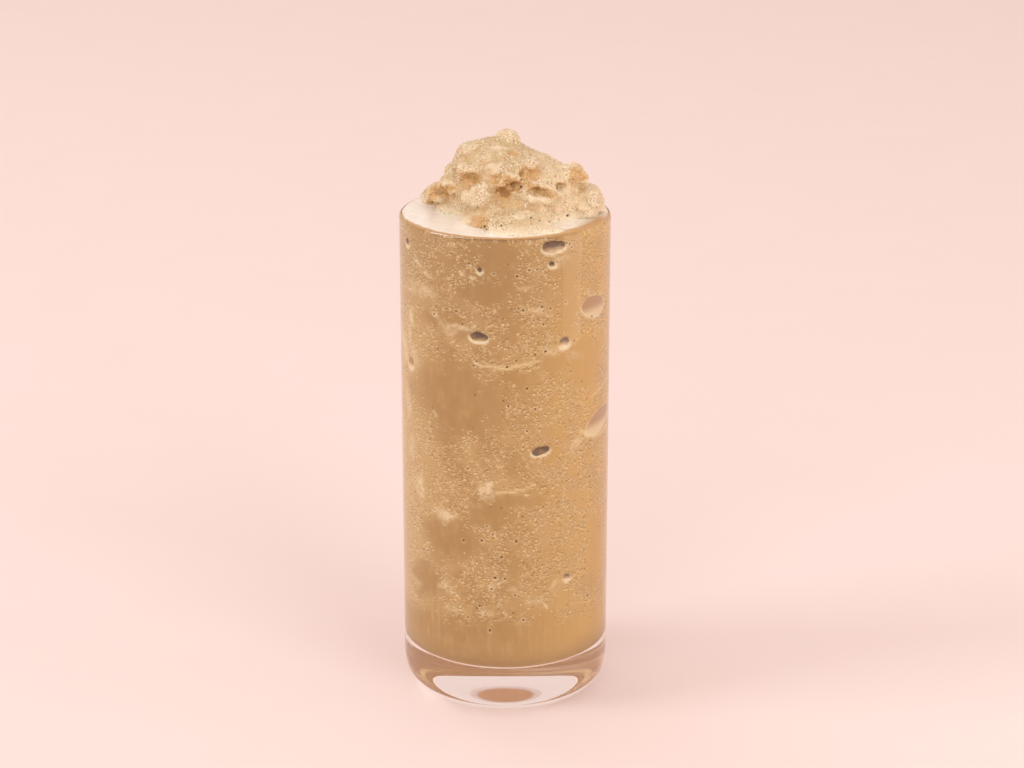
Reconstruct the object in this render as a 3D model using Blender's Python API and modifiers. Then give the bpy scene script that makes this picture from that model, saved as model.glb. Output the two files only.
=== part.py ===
"""Straight highball glass, filled to the brim with coffee smoothie and topped with a heap of slush.

Metres, +Z up. The origin is at the middle of the underside, where the glass stands.
"""
import math

import bmesh
import bpy
from mathutils import Matrix, Vector, noise

# Glass: a straight tube on a thick, domed base
GLASS_RADIUS = 0.0325
GLASS_HEIGHT = 0.1557
WALL = 0.0018
FLOOR_HEIGHT = 0.0146
INNER_CORNER = 0.0098
FOOT_ROUNDING = (0.0108, 0.0125)
FOOT_SQUARENESS = 2.6
STANDING_RING = 0.0012
PUNT_DEPTH = 0.0032

# Clearance between neighbours that touch in the real object
GAP = 0.0003

# Drink: its level stays just under the rim
DRINK_LEVEL = GLASS_HEIGHT - 0.0004
POCKET_DEPTH = 0.0020

# Heap: lumps of slush, their heights counted from the rim
HEAP_BOTTOM = DRINK_LEVEL + GAP
LUMP_UNEVENNESS = 0.25
LUMP_GRAIN = 1.9
HEAP_VOXEL = 0.0007
HEAP_SMOOTHING = 5
HEAP_TRIANGLES = 4800

ROUND_STEPS = 72
SMOOTH_ANGLE = math.radians(40)

INNER_RADIUS = GLASS_RADIUS - WALL
DRINK_RADIUS = INNER_RADIUS - GAP
PUNT_RADIUS = GLASS_RADIUS - FOOT_ROUNDING[0] - STANDING_RING

# Air pockets against the wall: turn from the front in degrees, height, width, tallness, tilt in degrees
POCKETS = {
    "pocket_rim": (27.2, 0.1512, 0.0070, 0.0038, 8),
    "pocket_left": (-14.6, 0.1250, 0.0055, 0.0032, -4),
    "pocket_right": (34.6, 0.1217, 0.0041, 0.0033, 22),
    "pocket_slit": (20.1, 0.0883, 0.0055, 0.0021, 14),
    "pocket_side_high": (56.0, 0.1312, 0.0100, 0.0056, 10),
    "pocket_side_low": (60.0, 0.0945, 0.0115, 0.0066, 38),
    "pocket_below_rim": (26.6, 0.1469, 0.0018, 0.0023, 60),
    "pocket_bottom": (37.1, 0.0450, 0.0027, 0.0027, 0),
    "pocket_left_side": (-64.5, 0.1116, 0.0040, 0.0036, 75),
}

# Body of the heap: height over the rim, radius, middle (x, y), all in millimetres
HEAP_LEVELS = (
    (-1.0, 24.0, 5.0, 7.0),
    (3.0, 22.8, 4.5, 6.0),
    (7.0, 21.0, 3.5, 4.5),
    (11.0, 19.5, 2.6, 3.0),
    (14.0, 16.0, 1.5, 0.5),
    (17.0, 13.2, -0.5, -0.5),
    (20.0, 9.8, -2.5, -0.5),
    (22.0, 6.5, -2.8, 0.0),
    (22.9, 0.0, -2.8, 0.0),
)

# Lumps half sunk in the heap: middle (x, y, height over the rim), then half sizes, in millimetres
LUMPS = {
    "peak": ((0.4, 0.0, 22.3), (3.9, 3.7, 3.7)),
    "upper_left": ((-7.8, -1.5, 18.4), (6.6, 6.0, 4.6)),
    "upper_left_edge": ((-12.2, -0.5, 16.3), (3.6, 5.0, 4.2)),
    "upper_middle": ((-1.5, -4.0, 19.8), (5.0, 5.0, 3.4)),
    "upper_right": ((7.4, -2.5, 15.9), (5.8, 6.0, 3.3)),
    "upper_right_low": ((12.5, -2.5, 12.9), (5.5, 5.5, 3.1)),
    "brow_left": ((-10.6, -8.6, 15.2), (4.4, 3.4, 2.4)),
    "middle": ((-2.4, -12.2, 16.0), (4.2, 3.6, 3.0)),
    "middle_low": ((2.4, -13.6, 14.2), (3.4, 3.2, 2.8)),
    "middle_right": ((7.3, -10.6, 16.4), (2.9, 3.2, 2.7)),
    "right_block": ((19.6, -2.2, 12.0), (5.6, 5.6, 3.6)),
    "right_back": ((14.0, 9.0, 8.8), (8.0, 8.0, 4.2)),
    "right_foot": ((24.0, 1.0, 4.2), (6.6, 9.5, 4.2)),
    "right_front_block": ((23.8, -5.0, 2.8), (5.4, 5.6, 3.6)),
    "left_shoulder": ((-15.5, -2.0, 9.2), (4.6, 5.6, 3.6)),
    "left_brow": ((-18.6, 3.6, 4.8), (5.6, 6.8, 3.6)),
    "left_foot": ((-15.4, 2.4, 1.0), (6.0, 6.6, 3.2)),
    "left_back": ((-17.0, 13.5, 1.0), (9.5, 8.5, 4.8)),
    "hood": ((0.5, -15.8, 12.4), (4.6, 3.0, 1.9)),
    "front_cheek": ((-8.0, -13.8, 8.4), (5.2, 4.0, 4.0)),
    "front_right": ((9.5, -14.6, 7.6), (6.4, 4.4, 3.8)),
    "front_low": ((2.5, -17.0, 1.6), (12.0, 8.0, 5.2)),
    "front_apron": ((4.5, -22.0, -0.9), (13.0, 8.2, 3.0)),
    "front_left_foot": ((-8.5, -12.5, 0.8), (5.2, 5.2, 3.2)),
    "crumb": ((-7.8, -17.8, 0.9), (2.8, 2.4, 1.9)),
    "corner_right": ((29.6, -1.5, 0.9), (1.9, 2.2, 1.6)),
    "back": ((3.0, 12.0, 10.0), (13.0, 9.0, 7.0)),
    "back_low": ((2.0, 20.5, 2.5), (15.0, 8.0, 5.0)),
    "left_slope": ((-15.4, -1.0, 11.8), (3.2, 4.5, 3.8)),
}

# Hollows pressed into the heap, given like the lumps
HOLLOWS = {
    "ring_hollow": ((-0.6, -18.0, 10.2), (2.2, 2.8, 1.7)),
    "left_hollow": ((-11.0, -12.6, 12.8), (3.0, 3.0, 1.9)),
    "left_ledge": ((-17.8, -5.2, 6.4), (4.4, 2.8, 1.3)),
    "under_middle": ((2.4, -16.9, 12.0), (3.8, 2.8, 1.3)),
    "under_right": ((7.5, -14.9, 14.2), (2.6, 2.0, 1.0)),
    "under_block": ((17.5, -9.4, 10.4), (5.2, 2.4, 1.1)),
    "crease": ((10.5, -16.0, 10.2), (4.8, 2.8, 1.2)),
}


def clear_scene():
    for item in list(bpy.data.objects):
        bpy.data.objects.remove(item)


def new_collection(name):
    group = bpy.data.collections.new(name)
    bpy.context.scene.collection.children.link(group)
    return group


def new_material(name, colour, roughness, transmission=0.0):
    material = bpy.data.materials.new(name)
    material.use_nodes = True
    shader = material.node_tree.nodes["Principled BSDF"]
    shader.inputs["Base Color"].default_value = (*colour, 1.0)
    shader.inputs["Roughness"].default_value = roughness
    shader.inputs["Metallic"].default_value = 0.0
    shader.inputs["Transmission Weight"].default_value = transmission
    material.diffuse_color = (*colour, 1.0)
    return material


def corner(middle, sizes, start, end, steps, squareness=2.0):
    """Points of a round corner in the section plane, between two angles in degrees."""
    points = []
    for step in range(steps + 1):
        angle = math.radians(start + (end - start) * step / steps)
        across = math.copysign(abs(math.cos(angle)) ** (2 / squareness), math.cos(angle))
        up = math.copysign(abs(math.sin(angle)) ** (2 / squareness), math.sin(angle))
        points.append((middle[0] + sizes[0] * across, middle[1] + sizes[1] * up))
    return points


def dome(radius, depth, steps):
    """Points of a shallow round dome, from its edge to the axis."""
    curve = (radius ** 2 + depth ** 2) / (2 * depth)
    points = []
    for step in range(1, steps + 1):
        reach = radius * (1 - step / steps)
        points.append((reach, math.sqrt(curve ** 2 - reach ** 2) - (curve - depth)))
    return points


def turned(name, section, group):
    """A closed body made by turning a section, which runs from the axis back to the axis."""
    mesh = bpy.data.meshes.new(name)
    edges = [(index, index + 1) for index in range(len(section) - 1)]
    mesh.from_pydata([(across, 0.0, up) for across, up in section], edges, [])
    body = bpy.data.objects.new(name, mesh)
    group.objects.link(body)
    screw = body.modifiers.new("turn", "SCREW")
    screw.steps = ROUND_STEPS
    screw.render_steps = ROUND_STEPS
    screw.use_merge_vertices = True
    screw.merge_threshold = 0.00001
    return body


def make_fixed(body):
    """Turns the body's modifiers into its own mesh."""
    graph = bpy.context.evaluated_depsgraph_get()
    graph.update()
    mesh = bpy.data.meshes.new_from_object(body.evaluated_get(graph))
    mesh.name = body.name
    body.modifiers.clear()
    body.data = mesh


def finish(body, material):
    body.data.materials.clear()
    body.data.materials.append(material)
    body.data.shade_smooth()
    body.data.set_sharp_from_angle(angle=SMOOTH_ANGLE)


def make_cutter(body):
    body.hide_render = True
    body.display_type = "WIRE"


def ball(name, sizes, turn, group, seed=None):
    """An ellipsoid with its axes turned by a matrix, made uneven where a seed is given."""
    mesh = bpy.data.meshes.new(name)
    shape = bmesh.new()
    bmesh.ops.create_icosphere(shape, subdivisions=3, radius=1.0)
    for vertex in shape.verts:
        reach = 1.0
        if seed is not None:
            grain = noise.noise(vertex.co * LUMP_GRAIN + Vector((7.3 * seed, 3.1, 1.9 * seed)))
            reach += LUMP_UNEVENNESS * grain
        scaled = Vector((vertex.co.x * sizes[0], vertex.co.y * sizes[1], vertex.co.z * sizes[2]))
        vertex.co = turn @ (scaled * reach)
    shape.to_mesh(mesh)
    shape.free()
    body = bpy.data.objects.new(name, mesh)
    group.objects.link(body)
    return body


def boolean(body, operation, group=None, other=None):
    cut = body.modifiers.new(operation.lower(), "BOOLEAN")
    cut.operation = operation
    if group is None:
        cut.object = other
    else:
        cut.operand_type = "COLLECTION"
        cut.collection = group


def build_glass(group):
    section = [(0.0, FLOOR_HEIGHT)]
    inner_middle = (INNER_RADIUS - INNER_CORNER, FLOOR_HEIGHT + INNER_CORNER)
    section += corner(inner_middle, (INNER_CORNER, INNER_CORNER), -90, 0, 9)
    rim_middle = (GLASS_RADIUS - WALL / 2, GLASS_HEIGHT - WALL / 2)
    section += corner(rim_middle, (WALL / 2, WALL / 2), 180, 0, 6)
    foot_middle = (GLASS_RADIUS - FOOT_ROUNDING[0], FOOT_ROUNDING[1])
    section += corner(foot_middle, FOOT_ROUNDING, 0, -90, 10, FOOT_SQUARENESS)
    section.append((PUNT_RADIUS, 0.0))
    section += dome(PUNT_RADIUS, PUNT_DEPTH, 6)
    glass = turned("glass", section, group)
    make_fixed(glass)
    finish(glass, new_material("clear_glass", (0.95, 0.93, 0.92), 0.02, 1.0))


def build_pockets(group):
    """Bean-shaped cutters that reach into the drink from its wall."""
    for name, (turn, height, width, tallness, tilt) in POCKETS.items():
        outward = Matrix.Rotation(math.radians(turn), 4, "Z")
        lean = Matrix.Rotation(math.radians(-tilt), 4, "Y")
        depth = min(POCKET_DEPTH, width / 2)
        cutter = ball(name, (width / 2, depth, tallness / 2), (outward @ lean).to_3x3(), group)
        cutter.location = outward @ Vector((0.0, -DRINK_RADIUS, height))
        make_cutter(cutter)


def build_smoothie(group, cutters):
    section = [(0.0, DRINK_LEVEL), (DRINK_RADIUS, DRINK_LEVEL)]
    middle = (INNER_RADIUS - INNER_CORNER, FLOOR_HEIGHT + INNER_CORNER)
    rounding = INNER_CORNER - GAP
    section += corner(middle, (rounding, rounding), 0, -90, 9)
    section.append((0.0, FLOOR_HEIGHT + GAP))
    drink = turned("smoothie", section, group)
    make_fixed(drink)
    build_pockets(cutters)
    boolean(drink, "DIFFERENCE", group=cutters)
    make_fixed(drink)
    finish(drink, new_material("coffee_smoothie", (0.50, 0.28, 0.12), 0.45))


def at_rim(middle):
    """Places a point given in millimetres from the middle of the rim."""
    return Vector((middle[0] / 1000, middle[1] / 1000, GLASS_HEIGHT + middle[2] / 1000))


def heap_body(group):
    """A turned body whose rings are then shifted to the middles that the levels give."""
    section = [(radius / 1000, height / 1000) for height, radius, _, _ in reversed(HEAP_LEVELS)]
    section.append((0.0, HEAP_LEVELS[0][0] / 1000))
    body = turned("slush_mound", section, group)
    make_fixed(body)
    for vertex in body.data.vertices:
        level = vertex.co.z * 1000
        for low, high in zip(HEAP_LEVELS, HEAP_LEVELS[1:]):
            if level <= high[0] + 0.001:
                share = max(0.0, (level - low[0]) / (high[0] - low[0]))
                vertex.co.x += (low[2] + (high[2] - low[2]) * share) / 1000
                vertex.co.y += (low[3] + (high[3] - low[3]) * share) / 1000
                break
        vertex.co.z += GLASS_HEIGHT
    return body


def soften(body):
    """Melts the joints between the lumps, as wet slush does, and thins the mesh out."""
    remesh = body.modifiers.new("melt", "REMESH")
    remesh.mode = "VOXEL"
    remesh.voxel_size = HEAP_VOXEL
    smooth = body.modifiers.new("smooth", "SMOOTH")
    smooth.factor = 0.5
    smooth.iterations = HEAP_SMOOTHING
    make_fixed(body)
    triangles = sum(len(face.vertices) - 2 for face in body.data.polygons)
    thin = body.modifiers.new("thin", "DECIMATE")
    thin.ratio = min(1.0, HEAP_TRIANGLES / triangles)
    make_fixed(body)


def build_heap(group, cutters):
    """Fuses lumps and body, presses the hollows in and trims the foot to the drink and the rim."""
    loose = new_collection("loose_lumps")
    hollows = new_collection("hollow_cutters")
    upright = Matrix.Identity(3)
    for seed, (name, (middle, sizes)) in enumerate(LUMPS.items()):
        lump = ball(name, [value / 1000 for value in sizes], upright, loose, seed=seed)
        lump.location = at_rim(middle)
    for name, (middle, sizes) in HOLLOWS.items():
        hollow = ball(name, [value / 1000 for value in sizes], upright, hollows)
        hollow.location = at_rim(middle)
        make_cutter(hollow)

    heap = heap_body(group)
    boolean(heap, "UNION", group=loose)
    make_fixed(heap)
    for lump in list(loose.objects):
        bpy.data.objects.remove(lump)
    bpy.data.collections.remove(loose)
    boolean(heap, "DIFFERENCE", group=hollows)
    make_fixed(heap)
    soften(heap)

    reach = 2 * GLASS_RADIUS
    over_rim = GLASS_HEIGHT + GAP
    section = [(0.0, HEAP_BOTTOM), (DRINK_RADIUS, HEAP_BOTTOM), (DRINK_RADIUS, over_rim)]
    section += [(reach, over_rim), (reach, GLASS_HEIGHT / 2), (0.0, GLASS_HEIGHT / 2)]
    room = turned("glass_room", section, cutters)
    make_fixed(room)
    make_cutter(room)
    boolean(heap, "DIFFERENCE", other=room)
    make_fixed(heap)
    finish(heap, new_material("coffee_slush", (0.74, 0.53, 0.32), 0.6))


def main():
    clear_scene()
    parts = new_collection("glass_of_coffee_smoothie")
    pocket_cutters = new_collection("pocket_cutters")
    trim_cutters = new_collection("trim_cutters")
    build_glass(parts)
    build_smoothie(parts, pocket_cutters)
    build_heap(parts, trim_cutters)


main()
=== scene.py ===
"""Looks of a tall glass of coffee smoothie, filled to the brim and topped with a heap of slush.

Metres, +Z up, the front towards -Y. Places on the drink's wall are given by their turn from the front in
degrees, positive to the right, and their height; the marks' own sizes are in millimetres.
"""
import math
import random

import bmesh
import bpy
import numpy as np
from mathutils import Matrix, Vector, noise


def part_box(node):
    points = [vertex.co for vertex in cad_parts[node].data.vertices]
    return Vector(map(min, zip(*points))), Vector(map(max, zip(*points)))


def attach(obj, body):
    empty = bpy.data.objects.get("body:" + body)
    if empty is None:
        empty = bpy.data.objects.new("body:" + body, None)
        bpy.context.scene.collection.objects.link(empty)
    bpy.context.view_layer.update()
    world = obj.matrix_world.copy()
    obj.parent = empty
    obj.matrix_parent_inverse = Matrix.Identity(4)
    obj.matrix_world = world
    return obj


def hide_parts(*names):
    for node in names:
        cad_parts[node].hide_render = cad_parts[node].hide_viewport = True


MM = 0.001
WELD_DISTANCE = MM / 1000

# Camera: where it stands, how far it dips and turns, and its lens and sensor in millimetres
CAMERA_PLACE = (0.0, -0.780, 0.36297)
CAMERA_DIP = math.radians(18.633)
CAMERA_TURN = math.radians(-0.157)
CAMERA_LENS = 92.34
SENSOR_WIDTH = 36.0
CAMERA_NEAR = 0.01

# Floor and light
FLOOR_DROP = 0.0002
FLOOR_SIZE = 8.0
FLOOR_COLOUR = (0.845, 0.748, 0.728)
FLOOR_SHADE = (0.83, 0.728, 0.708)
ROOM_COLOUR = (1.0, 0.785, 0.712)
ROOM_STRENGTH = 0.86

# How often light may bounce in the thick clear foot before it's lost
LIGHT_BOUNCES = 40

# Lamps: place, target, width and height, power in watts, and colour
LAMPS = {
    "left_lamp": ((-2.60, -0.60, 1.90), (0.0, 0.0, 0.12), (1.2, 1.2), 28.0, (1.0, 1.0, 1.0)),
    "right_lamp": ((2.00, -2.60, 2.00), (0.0, 0.0, 0.12), (1.9, 1.9), 37.5, (1.0, 0.99, 0.97)),
    "front_lamp": ((-1.20, -3.10, 1.90), (0.0, 0.0, 0.12), (1.9, 1.9), 20.5, (1.0, 1.0, 1.0)),
    "high_lamp": ((-0.75, 0.95, 2.00), (0.0, 0.0, 0.15), (0.7, 0.35), 2.2, (1.0, 1.0, 1.0)),
    "right_panel": ((0.36, -0.100, 0.28), (0.0, -0.02, 0.28), (0.16, 0.5), 0.18, (1.0, 0.98, 0.96)),
}

# Lamps that light one piece alone: a low one on the drink's back, which the clear foot shows from below, and
# a high one for the shine on the glass's rim
BACK_LAMP = ((0.0, 1.6, 0.075), (0.0, 0.0, 0.075), (0.7, 0.13), 6.8, (1.0, 0.94, 1.0))
RIM_LAMP = ((-0.75, 0.95, 2.00), (0.0, 0.0, 0.15), (0.8, 0.8), 30.0, (1.0, 1.0, 1.0))

# Glass: the same sizes as the solid, in finer steps
GLASS_RADIUS = 0.0325
GLASS_HEIGHT = 0.1557
WALL = 0.0018
FLOOR_HEIGHT = 0.0146
INNER_CORNER = 0.0098
FOOT_ROUNDING = (0.0108, 0.0125)
FOOT_SQUARENESS = 2.6
STANDING_RING = 0.0012
PUNT_DEPTH = 0.0032
INNER_RADIUS = GLASS_RADIUS - WALL
PUNT_RADIUS = GLASS_RADIUS - FOOT_ROUNDING[0] - STANDING_RING
CORNER_STEPS = 24
RIM_STEPS = 16
FOOT_STEPS = 32
DOME_STEPS = 20
GLASS_STEPS = 256
GLASS_TINTS = ((1.0, 0.995, 0.99), (0.99, 0.98, 0.975))

# Drink: it reaches into the wall, so that no gap of air shows
SINK = 0.0003
DRINK_RADIUS = INNER_RADIUS + SINK
DRINK_STEPS = 300
DRINK_RING_GAP = 0.00065
DRINK_FLOOR_RING = 0.010
DRINK_WALL_TOP = GLASS_HEIGHT - 0.8 * MM
DRINK_LEVEL = GLASS_HEIGHT + 0.00025

# How far in from the drink's wall the rings of its level top lie, in millimetres
TOP_INSETS = (3.2, 5.0, 7.5, 11.0, 16.0, 22.0)

# The brim, where the liquid swells over the inner half of the lip: out from the drink's wall, and over the
# rim, in millimetres
BRIM = (
    (0.20, -0.50), (0.50, -0.24), (0.72, -0.07), (0.70, 0.02), (0.55, 0.10), (0.30, 0.17), (-0.10, 0.23),
    (-0.70, 0.27), (-1.60, 0.28),
)

# Air pockets: turn, height, width and tallness in millimetres, tilt in degrees, depth in millimetres and
# how dark the painted shade inside them is
POCKETS = (
    (26.2, 0.1524, 6.1, 4.0, -2, 1.9, 1.00),
    (31.4, 0.1524, 4.0, 3.0, 4, 1.6, 1.02),
    (-14.6, 0.1250, 5.5, 3.2, -4, 1.6, 1.12),
    (34.6, 0.1217, 3.9, 3.4, 24, 1.5, 0.66),
    (20.1, 0.0883, 5.9, 2.7, 8, 1.4, 1.80),
    (57.9, 0.1308, 12.0, 6.4, -10, 0.0, 0.38),
    (65.1, 0.0930, 15.0, 6.4, 14, 0.0, 0.37),
    (-67.5, 0.1495, 2.6, 2.7, 0, 0.0, 0.80),
    (26.6, 0.1469, 1.8, 2.3, 60, 0.8, 1.0),
    (37.1, 0.0450, 2.4, 2.4, 0, 0.9, 0.7),
    (-14.0, 0.1459, 1.7, 1.6, 0, 0.8, 0.9),
    (-64.5, 0.1116, 4.0, 3.6, 75, 0.0, 0.40),
)

# Spots where coffee has soaked the heap, coloured as its stain and as painted shade under a brow of slush, as
# seen
# from the front: across and over the rim's middle, width and tallness in millimetres, tilt in degrees, and
# strength
SOAKED_SPOTS = (
    (-19.3, 6.6, 8.0, 2.4, 8, 1.00),
    (-22.4, 4.0, 2.4, 4.4, 0, 0.85),
    (-11.1, 10.2, 5.6, 3.6, -20, 0.85),
    (-2.8, 10.0, 4.0, 2.4, -6, 0.80),
    (2.0, 8.8, 6.0, 2.8, -28, 1.10),
    (-0.4, 5.9, 4.2, 3.0, -8, 1.20),
    (7.9, 12.0, 5.0, 3.8, 6, 0.75),
    (5.3, 11.9, 1.5, 3.0, 0, 1.15),
    (10.6, 6.8, 10.0, 2.0, -24, 0.95),
    (16.5, 8.4, 2.2, 1.4, -10, 0.65),
    (22.9, 11.6, 5.4, 4.0, -4, 0.80),
    (-7.7, -3.0, 5.0, 3.2, 10, 0.80),
    (2.4, 18.2, 3.6, 1.1, -22, 0.60),
    (-5.2, 12.2, 3.0, 2.0, 40, 0.40),
    (-3.2, 20.4, 3.6, 1.6, 10, 0.35),
    (-14.5, 12.5, 2.2, 3.4, 20, 0.35),
)

# Holes on the heap, dark with painted shade, as seen from the front: across and over the rim's middle, and
# size, in millimetres
HEAP_HOLES = (
    (-6.5, -4.5, 0.75), (-5.8, -5.3, 0.6), (-1.2, -4.2, 0.55), (-7.6, -5.0, 0.45), (8.0, -1.8, 0.6),
    (19.3, -1.2, 0.75), (10.7, -2.7, 0.45), (4.8, 11.5, 0.6), (5.0, 9.8, 0.7), (4.7, 7.7, 0.6),
    (1.7, 8.3, 0.5), (-22.3, 2.9, 0.5), (-20.6, 2.3, 0.45), (15.4, 10.9, 0.4), (-3.0, -0.6, 0.4),
    (13.6, -3.0, 0.4),
)

# Calm patches, where the drink lies flat on the wall: turn, height, width and tallness in millimetres, and
# tilt in degrees
CALM_PATCHES = (
    (-3.9, 0.1504, 13.0, 12.0, 0),
    (-10.0, 0.1386, 16.0, 7.0, 4),
    (-33.3, 0.1272, 19.0, 6.0, -8),
    (-30.8, 0.1043, 34.0, 24.0, -6),
    (27.8, 0.1156, 9.0, 6.5, 0),
    (9.2, 0.0735, 15.0, 4.5, 6),
    (-9.2, 0.0685, 13.0, 9.0, -10),
    (-33.5, 0.0579, 19.0, 15.0, 10),
    (6.8, 0.1123, 11.0, 4.5, 0),
    (37.8, 0.1365, 7.0, 30.0, 0),
    (-52.1, 0.0417, 15.0, 13.0, 0),
    (52.0, 0.1140, 13.0, 16.0, 0),
    (63.0, 0.0500, 12.0, 26.0, 0),
)

# Pale blotches of foam at the wall, given in the same way, with their strength last
PALE_BLOTCHES = (
    (-35.7, 0.0666, 9.0, 5.0, 10, 1.0),
    (-55.9, 0.0723, 7.0, 4.6, -20, 0.8),
    (-10.9, 0.0748, 5.0, 4.0, 0, 0.9),
    (44.6, 0.0874, 7.0, 2.6, 12, 0.7),
    (-42.4, 0.0972, 3.6, 2.4, -30, 0.7),
    (23.9, 0.0361, 1.3, 3.4, 0, 1.3),
    (-36.9, 0.0414, 5.4, 3.4, 0, 0.5),
    (-7.0, 0.0455, 3.1, 2.7, 0, 0.6),
    (7.2, 0.0432, 3.7, 2.3, 0, 0.5),
    (17.7, 0.0403, 6.4, 3.4, 8, 0.5),
    (30.9, 0.0421, 4.3, 2.0, 0, 0.6),
    (-10.5, 0.0370, 3.1, 2.7, 0, 0.5),
    (-32.1, 0.0359, 5.1, 2.7, 0, 0.45),
    (-60.3, 0.0391, 6.2, 3.4, 0, 0.4),
    (-59.7, 0.1355, 15.0, 4.4, 5, 0.45),
    (-32.0, 0.1261, 8.0, 5.0, -25, 0.45),
    (32.9, 0.1472, 5.0, 2.5, 0, 0.45),
    (16.7, 0.1324, 6.8, 2.4, -6, 0.55),
    (-65.1, 0.1204, 3.5, 11.0, 8, 0.5),
    (-60.6, 0.1146, 6.0, 6.5, 0, 0.4),
    (27.5, 0.1200, 9.0, 3.4, 10, 0.5),
    (-54.4, 0.1450, 7.0, 3.8, -15, 0.35),
    (-64.3, 0.0847, 5.6, 10.0, 0, 0.5),
    (-57.3, 0.1449, 4.9, 1.9, 10, 0.8),
    (-50.0, 0.1368, 10.0, 3.0, -12, 0.6),
    (-45.9, 0.1419, 5.5, 1.9, -15, 0.7),
    (-25.5, 0.1441, 2.9, 3.1, 0, 0.6),
    (-17.8, 0.1434, 3.1, 1.5, 0, 0.7),
    (-63.6, 0.1264, 4.6, 3.9, -40, 0.9),
    (-40.9, 0.1296, 3.9, 2.5, -30, 0.7),
    (-26.2, 0.1276, 8.4, 2.2, 20, 0.7),
    (61.8, 0.1348, 11.1, 2.2, -5, 0.5),
    (8.2, 0.1420, 4.2, 1.9, 10, 0.5),
    (-74.7, 0.1156, 5.6, 7.9, 0, 0.6),
    (44.0, 0.1162, 8.4, 3.2, -10, 0.35),
    (-70.6, 0.0984, 5.4, 8.0, 0, 0.6),
)

# Creases: pale lines, each through points of turn and height, with its width in millimetres
CREASES = (
    (
        ((-17.5, 0.1176), (-12.9, 0.1159), (-4.0, 0.1155), (3.8, 0.1158), (11.6, 0.1166), (17.3, 0.1173)),
        1.0,
    ),
    (((-5.2, 0.0753), (2.1, 0.0760), (9.4, 0.0765), (16.9, 0.0775)), 0.8),
    (((56.5, 0.1020), (65.5, 0.1031), (77.1, 0.1045)), 0.8),
    (((46.5, 0.0920), (52.5, 0.0900), (59.3, 0.0887), (68.0, 0.0882), (76.0, 0.0888)), 1.5),
)

# The random drift that bends the outlines of the drink's marks: its seed, and the size of its waves and their
# reach in millimetres, for the wide waves and for the fine ones, which are drawn at their own place
DRIFT_SEED = 8
WIDE_DRIFT = (8.0, 3.4)
FINE_DRIFT = (2.2, 0.9)
FINE_DRIFT_PLACE = 40.0

# How the pockets are made, in millimetres: how much wider and taller than they are their pale lip is and how
# much lower it lies, how much lower a pinhole's lies, and the depth where a pocket has none of its own. Then
# the share of the drift that bends their outlines, and the darkness from which their painted shade darkens
# their lower part too.
LIP_EXTRA = (0.9, 0.8)
LIP_DROP = 0.28
PINHOLE_LIP_DROP = 0.15
SHALLOW_DEPTH = 0.15
POCKET_DRIFT = 0.3
DARK_BELOW_FROM = 0.78

# Pinholes, small bubbles at the wall, dark with painted shade: turn and height
PINHOLES = (
    (13.2, 0.1459), (-13.8, 0.1456), (6.5, 0.1442), (21.3, 0.1287), (-42.4, 0.1301), (22.6, 0.1201),
    (-17.5, 0.1160), (-15.8, 0.1174), (1.0, 0.1159), (16.8, 0.1021), (-36.5, 0.0632), (-10.4, 0.0644),
    (-7.0, 0.0618), (-13.3, 0.0596), (-24.1, 0.0589), (-49.1, 0.0523), (55.3, 0.0759), (-8.8, 0.0297),
    (-5.5, 0.1553),
    (37.5, 0.1524), (38.9, 0.1513), (35.5, 0.1529), (-19.9, 0.1477), (17.6, 0.1459), (-6.1, 0.1450),
    (25.5, 0.1334), (35.1, 0.1346), (15.7, 0.1303), (7.3, 0.1342), (9.9, 0.1336), (20.5, 0.1342),
    (-27.7, 0.1324), (12.0, 0.1089), (1.7, 0.1035), (-21.2, 0.0827), (12.1, 0.0953), (6.0, 0.0596),
    (-2.1, 0.0544), (-5.9, 0.0475), (-7.8, 0.0437), (5.5, 0.0416), (-27.9, 0.0407), (-31.3, 0.0336),
    (-21.7, 0.0334), (10.3, 0.0332), (-0.2, 0.0472), (54.1, 0.0362), (-14.6, 0.0378),
)

# More pinholes, strewn over the whole wall: how many, and between which heights. The sizes of both kinds are
# radii in millimetres.
PINHOLE_SEED = 11
LOOSE_PINHOLES = 150
LOOSE_HEIGHTS = (0.034, 0.150)
PINHOLE_SIZES = (0.27, 0.40)
LOOSE_SIZES = (0.14, 0.28)
PINHOLE_DEPTH = 0.12
# Painted shade: the dark colours of the pinholes
PINHOLE_COLOURS = ((0.12, 0.045, 0.000), (0.23, 0.100, 0.005))

# Colours of the drink at the wall; the lit ones belong to its right side, which the light falls on
BODY = (0.445, 0.254, 0.080)
BODY_LIT = (0.70, 0.432, 0.148)
BODY_FAR_LEFT = (0.62, 0.415, 0.180)
CLOUD = (0.58, 0.37, 0.155)
CALM = (0.410, 0.226, 0.066)
CALM_LIT = (0.65, 0.390, 0.125)
MOTTLE = (0.62, 0.40, 0.165)
# Painted shade: the drink's upper part is darker, away from its lit right side
TOP_SHADE = (0.355, 0.195, 0.058)
# Pale froth: both its flecks of cream and the painted highlight low in each small bubble; next, the painted
# shade over each bubble
FROTH_CREAM_AND_HIGHLIGHT = (0.86, 0.68, 0.37)
FROTH_SHADE = (0.28, 0.140, 0.040)
PALE_STREAK = (0.66, 0.44, 0.20)
DARK_STREAK = (0.36, 0.19, 0.055)
DRINK_FOOT = (0.66, 0.41, 0.165)
BLOTCH = (0.83, 0.69, 0.43)
CREASE = (0.80, 0.63, 0.33)
# Painted reflection: a pink tint on the drink's lower back, for the pink room that the clear foot shows with
# it
LOW_BACK_REFLECTION = (0.52, 0.300, 0.160)

# Colours of the pockets: their lip, and their inside from pale to dark, painted shade that is darkest at the
# top of each pocket and a little paler on the drink's lit side
POCKET_LIP = (0.84, 0.735, 0.50)
POCKET_PALE = (0.80, 0.63, 0.37)
POCKET_HALF_DARK = (0.47, 0.285, 0.090)
POCKET_HALF_DARK_LIT = (0.53, 0.315, 0.175)
POCKET_DARK = ((0.090, 0.034, 0.000), (0.21, 0.086, 0.000))
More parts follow.
